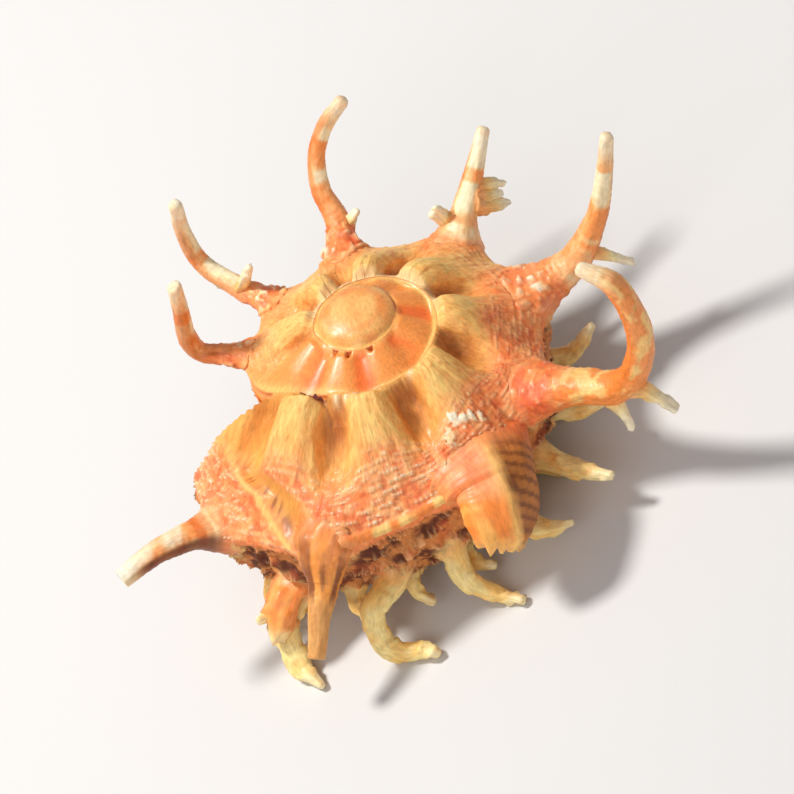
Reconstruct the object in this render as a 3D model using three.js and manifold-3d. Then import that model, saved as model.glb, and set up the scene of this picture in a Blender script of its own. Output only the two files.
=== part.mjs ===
// Spiny delphinula shell: a right-handed coil with a sloping ramp, a keeled shoulder that
// carries long curved spines, rows of shorter spines under it, a hollow last half turn that
// opens at the lip, and an open umbilicus. Millimetres, +Z up, coil axis upright.

import * as THREE from "three";
import { mergeVertices } from "three/addons/utils/BufferGeometryUtils.js";
import Module from "manifold-3d";

const wasm = await Module();
wasm.setup();

// Coil. Turns are counted along the growth: negative ones are older, and growth ends at the
// lip. At turn 0 the shoulder has this radius and lies in this direction from the axis.
const SHOULDER_RADIUS = 24;
const LIP_TURN = 0.05;
const GROWTH_PER_TURN = 1.76;
const SPIRE_SLOPE = 0.514;
const START_ANGLE = -178;
const DESCENT_TURNS = 0.6;
const DESCENT = 6.7;

// The shell rests on its lip and on the spines of its base, so its axis leans this much.
const REST_LEAN = 11.3;
const APEX_HEIGHT = 26.7;

// Place of the apex from the middle of the whole shell's box.
const APEX_X = 1.8;
const APEX_Y = 0.825;

// Cross section of a turn, in shoulder radii.
const SUTURE_SHARE = 0.725;
const SUTURE_SWAY = 0.125;
const SUTURE_SWAY_TURN = -0.33;
const OLDER_SUTURE = 0.9;
const SUTURE_LIFT = 0.154;
const RAMP_STATIONS = [0, 0.1, 0.26, 0.44, 0.62, 0.8, 0.93, 1];
const RAMP_BULGE = 0.035;
const BASE_DEPTH = 0.62;
const LIP_BASE_DEPTH = 0.44;
const SIDE_OUTLINE = [
  [0.985, 0.12],
  [0.985, 0.36],
  [0.95, 0.6],
  [0.87, 0.82],
  [0.75, 0.97],
  [0.62, 1.0],
  [0.5, 0.9],
  [0.41, 0.7],
  [0.365, 0.45],
  [0.36, 0.2],
  [0.38, -0.1],
];

// Smooth dome over the oldest turns.
const NUCLEUS_RADIUS = 5;
const NUCLEUS_HEIGHT = 2;

// The shoulder stands out in a keel at each long spine, over this stretch of growth.
const KEEL_REACH = 0.05;
const KEEL_TURNS = 0.026;

// Folds of the ramp, about one for each long spine.
const FOLDS_PER_TURN = 8.5;
const FOLD_CREST_TURN = -0.089;
const FOLD_HEIGHT = 0.06;

// Wall of the hollow part of the coil, and the lean of the lip.
const WALL = 1.2;
const LIP_LEAN_AT_SEAM = 0.07;
const LIP_LEAN_AT_FOOT = 0.05;

// The coil is swept in stretches shorter than a turn, [first turn, last turn, steps].
const HOLLOW_STRETCHES = [
  [-0.625, -0.3125, 16],
  [-0.3125, LIP_TURN, 19],
];
const FILLED_STRETCHES = [
  [-3.1, -2.3, 7],
  [-2.3, -1.6, 10],
  [-1.6, -0.95, 18],
  [-0.95, -0.625, 14],
];
const HOLLOW = [-0.56, LIP_TURN + 0.03, 16];

const radians = THREE.MathUtils.degToRad;
const lerp = THREE.MathUtils.lerp;
const smoothstep = THREE.MathUtils.smoothstep;

function shoulderRadius(turn) {
  return SHOULDER_RADIUS * Math.pow(GROWTH_PER_TURN, turn);
}

function descent(turn) {
  const share = Math.max(turn + DESCENT_TURNS, 0) / DESCENT_TURNS;
  return DESCENT * share * share;
}

function shoulderHeight(turn) {
  return -SPIRE_SLOPE * shoulderRadius(turn) - descent(turn);
}

function angleAt(turn) {
  return radians(START_ANGLE) - 2 * Math.PI * turn;
}

// The seam with the turn before it lies on that turn's ramp. It sways in and out once a turn,
// and ends at the shoulder by the lip.
function suture(turn) {
  const sway = SUTURE_SWAY * Math.cos(2 * Math.PI * (turn - SUTURE_SWAY_TURN));
  const older = lerp(OLDER_SUTURE, 1, smoothstep(turn, -1.1, -0.95));
  const toShoulder = smoothstep(turn, -0.13, LIP_TURN);
  const share = lerp(older * (SUTURE_SHARE + sway), 0.99, toShoulder);
  const lift = lerp(SUTURE_LIFT, -0.02, toShoulder);
  const radius = share * shoulderRadius(turn - 1);
  return [radius, (lift - SPIRE_SLOPE) * radius];
}

function baseDepth(turn) {
  return lerp(BASE_DEPTH, LIP_BASE_DEPTH, smoothstep(turn, -0.4, LIP_TURN));
}

function foldWave(turn) {
  return Math.cos(2 * Math.PI * FOLDS_PER_TURN * (turn - FOLD_CREST_TURN));
}

function keel(turn) {
  const reaches = SHOULDER_SPINES.map((form) => {
    const away = (turn - form.turn) / KEEL_TURNS;
    return Math.exp(-away * away);
  });
  return KEEL_REACH * Math.max(...reaches);
}

// Points of the cross section at a turn, as [distance from the axis, height], outside first.
function section(turn) {
  const radius = shoulderRadius(turn);
  const height = shoulderHeight(turn);
  const [seamRadius, seamHeight] = suture(turn);
  const points = [];
  for (const station of RAMP_STATIONS) {
    const bulge = RAMP_BULGE * Math.sin(Math.PI * station);
    const fade = smoothstep(station, 0, 0.12) * (1 - smoothstep(station, 0.45, 0.95));
    const lift = radius * (bulge + FOLD_HEIGHT * fade * foldWave(turn));
    const flare = radius * keel(turn) * smoothstep(station, 0.75, 1);
    const reach = lerp(seamRadius, radius, station) + flare;
    points.push([reach, lerp(seamHeight, height, station) + lift]);
  }
  for (const [reach, drop] of SIDE_OUTLINE) {
    points.push([reach * radius, height - drop * baseDepth(turn) * radius]);
  }
  points.push([seamRadius - 0.07 * radius, seamHeight - 0.1 * radius]);
  return points;
}

function middleOf(points) {
  const sum = points.reduce(([x, y], point) => [x + point[0], y + point[1]], [0, 0]);
  return [sum[0] / points.length, sum[1] / points.length];
}

// The same section drawn in by the wall, for the hollow.
function hollowSection(turn) {
  const outer = section(turn);
  const centre = middleOf(outer);
  return outer.map(([x, y]) => {
    const dx = x - centre[0];
    const dy = y - centre[1];
    const share = 1 - (1.25 * WALL) / Math.hypot(dx, dy);
    return [centre[0] + dx * share, centre[1] + dy * share];
  });
}

// The lip is furthest on at the shoulder, and lies this many turns back at the seam and the foot.
function lean(index, count) {
  if (index < RAMP_STATIONS.length) {
    return LIP_LEAN_AT_SEAM * (1 - RAMP_STATIONS[index]);
  }
  return (LIP_LEAN_AT_FOOT * (index + 1 - RAMP_STATIONS.length)) / (count - RAMP_STATIONS.length);
}

// A point of the upright coil, moved to where it is on the resting shell.
function stand([x, y, z]) {
  const lean = radians(REST_LEAN);
  return [
    x * Math.cos(lean) + z * Math.sin(lean) + APEX_X,
    y + APEX_Y,
    z * Math.cos(lean) - x * Math.sin(lean) + APEX_HEIGHT,
  ];
}

function solidFrom(vertices, triangles) {
  const mesh = new wasm.Mesh({
    numProp: 3,
    vertProperties: new Float32Array(vertices.flat()),
    triVerts: new Uint32Array(triangles.flat()),
  });
  return new wasm.Manifold(mesh);
}

function solidFromGeometry(geometry, place = (point) => point) {
  geometry.deleteAttribute("normal");
  geometry.deleteAttribute("uv");
  const joined = mergeVertices(geometry);
  const points = joined.getAttribute("position");
  const vertices = [];
  for (let i = 0; i < points.count; i += 1) {
    vertices.push(place([points.getX(i), points.getY(i), points.getZ(i)]));
  }
  const corners = Array.from(joined.index.array);
  return solidFrom(vertices, corners);
}

// A closed tube through rings of points that all have the same count.
function tubeSolid(rings) {
  const count = rings[0].length;
  const vertices = rings.flat();
  const triangles = [];
  for (let ring = 0; ring + 1 < rings.length; ring += 1) {
    for (let i = 0; i < count; i += 1) {
      const a = ring * count + i;
      const b = ring * count + ((i + 1) % count);
      triangles.push([a, b, b + count], [a, b + count, a + count]);
    }
  }
  for (const [ring, flip] of [[0, true], [rings.length - 1, false]]) {
    const middle = new THREE.Vector3();
    for (const point of rings[ring]) {
      middle.add(new THREE.Vector3(...point));
    }
    middle.divideScalar(count);
    const hub = vertices.length;
    vertices.push(middle.toArray());
    for (let i = 0; i < count; i += 1) {
      const a = ring * count + i;
      const b = ring * count + ((i + 1) % count);
      triangles.push(flip ? [b, a, hub] : [a, b, hub]);
    }
  }
  return solidFrom(vertices.map(stand), triangles);
}

// One stretch of the coil, swept through a section given at each turn. A stretch that another
// one follows ends in a narrower ring inside it.
function coilStretch(sectionAt, [firstTurn, lastTurn, steps], tuck = 0) {
  const rings = [];
  for (let step = 0; step <= steps; step += 1) {
    const turn = lerp(firstTurn, lastTurn, step / steps);
    const count = sectionAt(turn).length;
    const ring = [];
    for (let i = 0; i < count; i += 1) {
      const placeTurn = turn - lean(i, count);
      const [reach, height] = sectionAt(placeTurn)[i];
      const angle = angleAt(placeTurn);
      ring.push([reach * Math.cos(angle), reach * Math.sin(angle), height]);
    }
    rings.push(ring.reverse());
  }
  if (tuck > 0) {
    rings.push(tuckedRing(sectionAt(lastTurn + tuck), lastTurn + tuck).reverse());
  }
  return tubeSolid(rings);
}

// A ring half as large as a section, about its middle.
function tuckedRing(points, turn) {
  const [middleReach, middleHeight] = middleOf(points);
  const angle = angleAt(turn);
  return points.map(([reach, height]) => {
    const near = lerp(middleReach, reach, 0.5);
    return [near * Math.cos(angle), near * Math.sin(angle), lerp(middleHeight, height, 0.5)];
  });
}

// A point by the shoulder at a turn: outwards, upwards, and sideways the way the shell grows.
function byShoulder(turn, [out, up, side = 0]) {
  const angle = angleAt(turn);
  const reach = shoulderRadius(turn) + out;
  return new THREE.Vector3(
    reach * Math.cos(angle) + side * Math.sin(angle),
    reach * Math.sin(angle) - side * Math.cos(angle),
    shoulderHeight(turn) + up,
  );
}

// A spine: an oval tube that follows a curve, widest at its root, with a blunt tip.
function spine({ turn, path, widths, flat = 0.7, steps = 7, sides = 7 }) {
  const curve = new THREE.CatmullRomCurve3(path.map((place) => byShoulder(turn, place)));
  const angle = angleAt(turn);
  const across = new THREE.Vector3(Math.sin(angle), -Math.cos(angle), 0);
  const rings = [];
  for (let step = 0; step <= steps; step += 1) {
    const share = step / steps;
    const centre = curve.getPoint(share);
    const along = curve.getTangent(share);
    const thick = new THREE.Vector3().crossVectors(across, along).normalize();
    const wide = new THREE.Vector3().crossVectors(along, thick).normalize();
    const slot = share * (widths.length - 1);
    const low = Math.min(Math.floor(slot), widths.length - 2);
    const width = lerp(widths[low], widths[low + 1], slot - low);
    const flatness = lerp(flat, 0.9, share);
    const ring = [];
    for (let i = 0; i < sides; i += 1) {
      const around = (2 * Math.PI * i) / sides;
      const point = centre.clone();
      point.addScaledVector(wide, 0.5 * width * Math.cos(around));
      point.addScaledVector(thick, -0.5 * width * flatness * Math.sin(around));
      ring.push(point.toArray());
    }
    rings.push(ring);
  }
  return tubeSolid(rings);
}

const SHORT_FACETS = { steps: 4, sides: 5 };

// Long spines of the shoulder, oldest first.
const SHOULDER_SPINES = [
  { turn: -0.915, path: [[-2.8, -0.9], [0.9, 0.3], [5.5, 1.1], [6.3, 3.3], [5.7, 8.1], [5.2, 11.9]],
    widths: [4.1, 2.9, 2.4, 2.6, 2.1, 1.8] },
  { turn: -0.83, path: [[-2.8, -0.9], [0.9, 0.3], [6.2, 0.2], [11.2, 1.5], [12.3, 5.3], [11.5, 11]],
    widths: [4.6, 3.3, 2.6, 2.3, 2, 1.7] },
  { turn: -0.729, path: [[-2.8, -0.9], [0, 0.5], [4.6, 1.9, 0.4], [7.3, 4.5, -0.2], [9.2, 7.9, 0.7],
    [10.1, 10.9, 2.8], [10.5, 13.1, 5.5]], widths: [5.5, 4.2, 2.8, 2.4, 2.1, 2, 1.7] },
  { turn: -0.604, path: [[-2.8, -1.8], [0, 0.2], [3.1, 2.8], [6.7, 5.7], [10.3, 8.8]],
    widths: [7.3, 5.5, 3.3, 2.4, 1.6] },
  { turn: -0.495, path: [[-2.8, -0.9], [0.3, 0.2], [6.3, 2.2], [10.2, 6.6], [12.7, 11.7], [14.8, 17.4]],
    widths: [8.2, 6.4, 4.2, 2.9, 2.3, 1.7] },
  { turn: -0.379, path: [[-2.8, -0.9], [0, 0.4], [6.4, 2.3], [12, 3.6], [16.3, 9.8], [17.4, 16.4],
    [16.2, 21.2], [13, 22.8]], widths: [8.2, 6.4, 4.6, 4.2, 3.7, 3.1, 2.8, 1.8] },
  { turn: -0.294, path: [[-2.8, 0], [0, 0.3], [3.4, -0.8, 1], [5.2, -2.8, 2.6], [5.6, -4.9, 3.8]],
    widths: [10.5, 9.9, 9.4, 8.4, 5.8], flat: 0.32 },
  { turn: -0.142, path: [[-2.8, 0], [0, 0.3], [3, -2.6], [6.2, -4.6], [9.6, -7.4]],
    widths: [7.3, 5.5, 3.7, 2.6, 2.1] },
  { turn: -0.032, path: [[-2.8, -0.9], [0, 0.2], [3.6, 1.8], [8.6, 2.6], [12.8, 2]],
    widths: [7.3, 5.9, 3.7, 2.9, 2.4] },
];

// Small prongs that stand off the long spines.
const PRONGS = [
  { turn: -0.83, path: [[5.7, -0.2], [4, 2.4], [2, 5.4]], widths: [2.4, 1.7, 0.9] },
  { turn: -0.83, path: [[8.8, 0.7], [9.2, -0.4], [9.5, -1.6]], widths: [1.7, 1.1, 0.6] },
  { turn: -0.729, path: [[3.3, 1.1, 0.6], [3.7, 1.8, 1.8], [4, 2.6, 2.9]], widths: [2, 1.3, 0.7] },
  { turn: -0.604, path: [[2.4, 2.2, -0.6], [1.5, 3.1, -1.7], [0.7, 4.4, -2.2]],
    widths: [2.2, 1.5, 0.8] },
  { turn: -0.604, path: [[4.2, 3.3, 0.6], [5.9, 1.9, 1.9], [7.4, 0.8, 2.4]], widths: [2.2, 1.5, 0.8] },
  { turn: -0.604, path: [[5.5, 4.6, 0.4], [6.9, 4, 1.3], [8.4, 3, 2]], widths: [1.8, 1.3, 0.7] },
  { turn: -0.495, path: [[7.8, 3], [10, 1], [12.2, -1.6]], widths: [2.6, 1.7, 0.9] },
  { turn: -0.379, path: [[13.2, 4.2], [15.6, 3], [17.8, 0.8]], widths: [2.9, 2, 1.1] },
  { turn: -0.379, path: [[9, 2.4], [10.6, 0], [11, -3.8]], widths: [2.6, 1.8, 0.9] },
];

// Curved spines of the row under the shoulder, from the right of the shell round to the lip.
const SIDE_SPINES = [
  { turn: -0.465, path: [[-2.2, -6.4], [-0.6, -6.6], [2.5, -6.4], [5.3, -3.5]],
    widths: [3.3, 2.8, 2.2, 1.2] },
  { turn: -0.408, path: [[-2.2, -6.8], [0.2, -7.1], [3.1, -7.1], [5.9, -5.8]],
    widths: [3.3, 2.8, 2.2, 1.2] },
  { turn: -0.356, path: [[-2.4, -7], [0.2, -7.3], [4.2, -7.7], [9.3, -6.8]],
    widths: [3.9, 3.1, 2.4, 1.1] },
  { turn: -0.298, path: [[-2.4, -7.7], [0.9, -8.2], [4, -9, -1.5], [5.9, -9.1, -4.2]],
    widths: [4, 3.3, 2.6, 0.9] },
  { turn: -0.24, path: [[-2.4, -7], [-0.4, -7.7], [1.8, -10.6, -0.4], [3.8, -12.7, -3.2],
    [5.7, -12.4, -5]], widths: [4, 3.5, 2.9, 1.9, 1.5] },
  { turn: -0.184, path: [[-2.4, -6.8], [-0.4, -7.5], [2.9, -8.6, 2.4], [4.6, -12.8, 1.7],
    [5.4, -14.6, -3.2], [5.7, -15, -4]], widths: [4.2, 3.9, 3.5, 3.1, 2.2, 2] },
  { turn: -0.09, path: [[-2.4, -8.2], [0.4, -8.8], [2.4, -10.5], [4.8, -13.7, -3.1],
    [5.7, -14.7, -6.8]], widths: [5, 4.4, 3.7, 2.8, 1.7] },
  { turn: -0.09, path: [[0.4, -8.6], [2.4, -8.4, 0.7], [4.6, -7.9, 1.1]], widths: [2.8, 2, 1.1] },
];

// Height of the surface below, in the upright coil, at a distance along x.
function groundAt(x) {
  const lean = radians(REST_LEAN);
  return x * Math.tan(lean) - APEX_HEIGHT / Math.cos(lean);
}

// Spines of the base that stand on the surface below.
const FOOT_SPINES = [-0.63, -0.54, -0.455, -0.38].map((turn) => {
  const radius = shoulderRadius(turn);
  const root = -BASE_DEPTH * radius;
  const foot = groundAt(radius * Math.cos(angleAt(turn))) - 0.6 - shoulderHeight(turn);
  return {
    turn,
    path: [
      [-0.28 * radius, 0.82 * root],
      [-0.2 * radius, 1.02 * root],
      [-0.06 * radius, lerp(root, foot, 0.45)],
      [0.02 * radius, foot],
    ],
    widths: [4, 3.2, 2.6, 2],
  };
});

// Spines of the row under the shoulder on the far side, which curve out and up.
const FAR_SPINES = [-0.865, -0.79, -0.71, -0.63, -0.53].map((turn) => {
  const radius = shoulderRadius(turn);
  return {
    turn,
    path: [
      [-0.12 * radius, -0.3 * radius],
      [-0.01 * radius, -0.34 * radius],
      [0.16 * radius, -0.39 * radius],
      [0.3 * radius, -0.32 * radius],
    ],
    widths: [3.3, 2.6, 2, 1.1],
  };
});

// Small spines of the base, between the rows.
const SMALL_SPINES = [-0.86, -0.74, -0.3, -0.25, -0.194, -0.14, -0.095, -0.05].map((turn) => {
  const radius = shoulderRadius(turn);
  const root = -0.82 * baseDepth(turn) * radius;
  return {
    turn,
    path: [
      [-0.2 * radius, 0.85 * root],
      [-0.1 * radius, 1.03 * root],
      [-0.03 * radius, 1.16 * root, -0.7],
      [0.02 * radius, 1.2 * root, -2.2],
    ],
    widths: [2.8, 2.3, 1.8, 1],
  };
});

function unite(solids) {
  return solids.reduce((whole, solid) => whole.add(solid));
}

function makeNucleus() {
  const outline = [
    new THREE.Vector2(0, -NUCLEUS_RADIUS),
    new THREE.Vector2(0.9 * NUCLEUS_RADIUS, -NUCLEUS_RADIUS),
  ];
  for (let step = 0; step <= 6; step += 1) {
    const around = (0.5 * Math.PI * step) / 6;
    const reach = NUCLEUS_RADIUS * Math.cos(around);
    const height = NUCLEUS_HEIGHT * (Math.sin(around) - 1);
    outline.push(new THREE.Vector2(step === 6 ? 0 : reach, height));
  }
  const dome = new THREE.LatheGeometry(outline, 18);
  dome.rotateX(0.5 * Math.PI);
  return solidFromGeometry(dome, stand);
}

function makeGround() {
  const size = 5 * SHOULDER_RADIUS;
  const ground = new THREE.BoxGeometry(size, size, size);
  ground.translate(0, 0, -0.5 * size);
  return solidFromGeometry(ground);
}

function makeShell() {
  const lastStretches = HOLLOW_STRETCHES.map((stretch) => coilStretch(section, stretch));
  const olderStretches = FILLED_STRETCHES.map((stretch) => coilStretch(section, stretch, 0.03));
  const longForms = [...SHOULDER_SPINES, ...SIDE_SPINES];
  const shortForms = [...PRONGS, ...FOOT_SPINES, ...FAR_SPINES, ...SMALL_SPINES];
  const forms = [...longForms, ...shortForms.map((form) => ({ ...form, ...SHORT_FACETS }))];
  const onHollow = forms.filter((form) => form.turn > HOLLOW[0]).map(spine);
  const onFilled = forms.filter((form) => form.turn <= HOLLOW[0]).map(spine);
  const hollow = coilStretch(hollowSection, HOLLOW);
  const lastPart = unite([...lastStretches, ...onHollow]).subtract(hollow);
  const olderPart = unite([...olderStretches, ...onFilled, makeNucleus()]);
  return lastPart.add(olderPart).subtract(makeGround());
}

function geometryFrom(solid) {
  const mesh = solid.getMesh();
  const geometry = new THREE.BufferGeometry();
  geometry.setAttribute("position", new THREE.BufferAttribute(mesh.vertProperties, 3));
  geometry.setIndex(new THREE.BufferAttribute(mesh.triVerts, 1));
  geometry.computeVertexNormals();
  return geometry;
}

const shellMaterial = new THREE.MeshStandardMaterial({
  color: 0xe0955a,
  roughness: 0.45,
  metalness: 0,
});

const shell = new THREE.Mesh(geometryFrom(makeShell()), shellMaterial);
shell.name = "shell";

const part = new THREE.Group();
part.add(shell);

export default part;
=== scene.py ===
"""Looks of a spiny delphinula shell: a detailed coil, its spines and their colours.

The shape follows the same growth law as the frame. Lengths are millimetres until a mesh is made.
A turn counts along the growth, with the lip at 0.05, and a span from the seam to the shoulder.
"""

import math
from types import SimpleNamespace

import bpy
import numpy as np
from mathutils import Matrix, Vector
from mathutils.bvhtree import BVHTree


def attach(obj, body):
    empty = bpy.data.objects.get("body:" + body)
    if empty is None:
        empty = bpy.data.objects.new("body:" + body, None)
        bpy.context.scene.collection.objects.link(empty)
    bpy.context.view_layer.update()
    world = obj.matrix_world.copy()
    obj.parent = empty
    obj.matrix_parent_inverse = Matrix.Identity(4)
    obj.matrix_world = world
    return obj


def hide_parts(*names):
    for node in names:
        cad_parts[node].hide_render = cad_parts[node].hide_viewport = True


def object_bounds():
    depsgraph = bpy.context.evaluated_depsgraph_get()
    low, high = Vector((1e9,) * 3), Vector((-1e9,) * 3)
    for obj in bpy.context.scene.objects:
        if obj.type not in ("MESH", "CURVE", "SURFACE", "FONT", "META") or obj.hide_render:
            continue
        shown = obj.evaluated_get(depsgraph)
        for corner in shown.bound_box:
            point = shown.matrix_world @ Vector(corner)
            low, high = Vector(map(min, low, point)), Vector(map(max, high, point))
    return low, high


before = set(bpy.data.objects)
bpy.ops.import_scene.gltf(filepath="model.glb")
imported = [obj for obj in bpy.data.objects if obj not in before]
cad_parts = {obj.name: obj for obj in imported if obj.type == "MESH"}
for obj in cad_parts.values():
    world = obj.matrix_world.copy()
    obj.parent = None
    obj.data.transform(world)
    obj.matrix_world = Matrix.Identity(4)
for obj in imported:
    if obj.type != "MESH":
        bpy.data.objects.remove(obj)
cad_low, cad_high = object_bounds()

# Growth law of the coil.
SHOULDER_RADIUS = 24
LIP_TURN = 0.05
FIRST_TURN = -3.0
GROWTH_PER_TURN = 1.76
SPIRE_SLOPE = 0.514
START_ANGLE = -178
DESCENT_TURNS = 0.6
DESCENT = 6.7
REST_LEAN = math.radians(11.3)
APEX = (1.8, 0.825, 26.7)
SUTURE_SHARE = 0.725
SUTURE_SWAY = 0.125
SUTURE_SWAY_TURN = -0.33
OLDER_SUTURE = 0.9
SUTURE_LIFT = 0.154
RAMP_BULGE = 0.035
BASE_DEPTH = 0.62
LIP_BASE_DEPTH = 0.44
SIDE_OUTLINE = [
    (0.985, 0.12), (0.985, 0.36), (0.95, 0.6), (0.87, 0.82), (0.75, 0.97), (0.62, 1.0),
    (0.5, 0.9), (0.41, 0.7), (0.365, 0.45), (0.36, 0.2), (0.38, -0.1),
]
NUCLEUS_RADIUS = 4.4
NUCLEUS_HEIGHT = 1.8
KEEL_REACH = 0.05
KEEL_TURNS = 0.026
FOLDS_PER_TURN = 8.5
FOLD_CREST_TURN = -0.089
FOLD_HEIGHT = 0.06
WALL = 1.2
ROOT_DEPTH = 0.9
ROOT_LENGTH = 3.6
LIP_LEAN_AT_SEAM = 0.07
LIP_LEAN_AT_FOOT = 0.05
HOLLOW_START = -0.56

# A gap that counts as far, and the millimetre in metres.
FAR = 9.0
MM = 0.001

# Mesh steps.
ROW_STEP = 0.2
RAMP_COLUMNS = 87
SIDE_COLUMNS = 84
SEAM_COLUMNS = 5

# Colours, as they look in daylight.
OCHRE = (238, 174, 98)
CREAM = (255, 224, 158)
# A darker tone laid into the narrow fold troughs: painted shade.
PAINTED_TROUGH_SHADE = (176, 108, 48)
CORAL = (242, 132, 82)
ROSE = (246, 176, 132)
ORANGE = (242, 150, 68)
PEACH = (250, 172, 108)
BRICK = (206, 92, 52)
MAROON = (98, 48, 24)
# Dark brown for the pit and window under the hood: painted shade.
PIT_SHADE = (140, 72, 34)
WHITE = (255, 246, 226)
IVORY = (253, 238, 186)
STAIN = (220, 196, 128)
TAN = (206, 144, 76)
HONEY = (242, 178, 88)
SAND = (232, 174, 96)
UMBER = (138, 84, 28)
FLAME = (242, 116, 56)
RUST = (176, 74, 26)
# Dark red for the slit along the seam: partly the shell's red, partly painted shade.
SLIT_RED_AND_SHADE = (104, 26, 8)
NACRE = (222, 206, 190)
NACRE_GREEN = (214, 226, 206)
NACRE_ROSE = (236, 196, 186)


def linear(colour):
    share = np.array(colour, float) / 255
    return np.where(share <= 0.04045, share / 12.92, ((share + 0.055) / 1.055) ** 2.4)


def smooth(x, low, high):
    share = np.clip((x - low) / (high - low), 0, 1)
    return share * share * (3 - 2 * share)


def hill(x, centre, width):
    return np.exp(-(((x - centre) / width) ** 2))


def mix(a, b, share):
    share = np.asarray(share)[..., None]
    return a * (1 - share) + b * share


def blend_of(first, second, share):
    return mix(linear(first), linear(second), share)


def layered(colour, *layers):
    """The colour with each layer's (colour, share) laid over it in turn."""
    for over, share in layers:
        colour = mix(colour, linear(over) if isinstance(over, tuple) else over, share)
    return colour


def between(x, rise, fall):
    """1 between two soft steps, each given as (start, end)."""
    return smooth(x, *rise) * (1 - smooth(x, *fall))


def warm(tint):
    """The warm cast of the shell, which spares its whites."""
    cast, white_cast = np.array([1.1, 0.88, 0.58]), np.array([1.0, 0.97, 0.9])
    return np.clip(mix(tint * cast, tint * white_cast, smooth(tint[:, 2], 0.42, 0.8)), 0, 1)


def lattice(ix, iy, iz, seed):
    mixed = (ix * 374761393 + iy * 668265263 + iz * 2147483647 + seed * 974634777) & 0xFFFFFFFF
    mixed = ((mixed ^ (mixed >> 13)) * 1274126177) & 0xFFFFFFFF
    return ((mixed ^ (mixed >> 16)) & 0xFFFF) / 65535.0


def noise(seed, x, y, z=0.0):
    """Smooth value noise from 0 to 1 at any points."""
    axes = np.broadcast_arrays(*(np.asarray(v, float) for v in (x, y, z)))
    cells = [np.floor(v).astype(np.int64) for v in axes]
    shares = [smooth(v - c, 0, 1) for v, c in zip(axes, cells)]
    total = 0.0
    for corner in range(8):
        bits = (corner & 1, corner >> 1 & 1, corner >> 2 & 1)
        weight = math.prod(share if bit else 1 - share for share, bit in zip(shares, bits))
        total += weight * lattice(*(c + bit for c, bit in zip(cells, bits)), seed)
    return total


def rough_noise(seed, x, y, z=0.0):
    octaves = ((0.55, 1, 0), (0.3, 2.1, 7), (0.15, 4.3, 13))
    return sum(part * noise(seed + shift, k * x, k * y, k * z) for part, k, shift in octaves)


def saw(x):
    """Rises slowly from 0 to 1 over each unit and drops at its end."""
    share = x - np.floor(x)
    return share ** 1.4 * (1 - smooth(share, 0.9, 1))


# The coil.
def radius_at(turn):
    return SHOULDER_RADIUS * GROWTH_PER_TURN ** turn


def height_at(turn):
    share = np.maximum(turn + DESCENT_TURNS, 0) / DESCENT_TURNS
    return -SPIRE_SLOPE * radius_at(turn) - DESCENT * share * share


def angle_at(turn):
    return math.radians(START_ANGLE) - math.tau * turn


def suture(turn):
    sway = SUTURE_SWAY * np.cos(math.tau * (turn - SUTURE_SWAY_TURN))
    older = OLDER_SUTURE + (1 - OLDER_SUTURE) * smooth(turn, -1.1, -0.95)
    to_shoulder = smooth(turn, -0.13, LIP_TURN)
    share = older * (SUTURE_SHARE + sway)
    share = share + (0.99 - share) * to_shoulder
    lift = SUTURE_LIFT + (-0.02 - SUTURE_LIFT) * to_shoulder
    radius = share * radius_at(turn - 1)
    return radius, (lift - SPIRE_SLOPE) * radius


def base_depth(turn):
    return BASE_DEPTH + (LIP_BASE_DEPTH - BASE_DEPTH) * smooth(turn, -0.4, LIP_TURN)


def fold_wave(turn):
    """From -1 in the narrow troughs between folds to 1 on their broad crests."""
    trough = 0.5 - 0.5 * np.cos(math.tau * FOLDS_PER_TURN * (turn - FOLD_CREST_TURN))
    return 1 - 2 * trough ** 1.6


def length_at(turn):
    """Length of the shoulder line from the start of the coil."""
    return math.tau / math.log(GROWTH_PER_TURN) * radius_at(turn)


def keel(turn):
    return KEEL_REACH * np.max([hill(turn, form[0], KEEL_TURNS) for form in SHOULDER_SPINES], 0)


def ramp_point(turn, span):
    radius = radius_at(turn)
    seam_radius, seam_height = suture(turn)
    fade = smooth(span, 0, 0.12) * (1 - smooth(span, 0.45, 0.95))
    folds = FOLD_HEIGHT * (0.45 + 0.55 * smooth(turn, -1.1, -0.95)) * fade * fold_wave(turn)
    lift = radius * (RAMP_BULGE * np.sin(math.pi * span) + folds)
    flare = radius * keel(turn) * smooth(span, 0.75, 1)
    reach = seam_radius + (radius - seam_radius) * span + flare
    height = seam_height + (height_at(turn) - seam_height) * span + lift
    return reach, height


def side_curve():
    """Even samples of the side and base: reach, drop and place along it, all in shares."""
    corners = np.array([(1.0, 0.0)] + SIDE_OUTLINE)
    fine = np.linspace(0, len(corners) - 1, 600)
    ends = np.vstack([2 * corners[0] - corners[1], corners, 2 * corners[-1] - corners[-2]])
    low = np.minimum(fine.astype(int), len(corners) - 2)
    share = (fine - low)[:, None]
    a, b, c, d = (ends[low + k] for k in range(4))
    square, cube = 2 * a - 5 * b + 4 * c - d, 3 * b - a - 3 * c + d
    points = 0.5 * (2 * b + (c - a) * share + square * share ** 2 + cube * share ** 3)
    steps = np.hypot(np.diff(points[:, 0]), BASE_DEPTH * np.diff(points[:, 1]))
    length = np.concatenate([[0], np.cumsum(steps * np.where(fine[:-1] < 5, 1.5, 0.8))])
    even = np.linspace(0, length[-1], SIDE_COLUMNS)
    return [np.interp(even, length, values) for values in (*points.T, fine / fine[-1])]


def upright(reach, height, turn):
    angle = angle_at(turn)
    return np.stack([reach * np.cos(angle), reach * np.sin(angle), height], -1)


def stand(points):
    """From the upright coil to where the shell rests, in millimetres."""
    x, y, z = np.moveaxis(points, -1, 0)
    cos, sin = math.cos(REST_LEAN), math.sin(REST_LEAN)
    return np.stack([x * cos + z * sin, y, z * cos - x * sin], -1) + APEX


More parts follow.
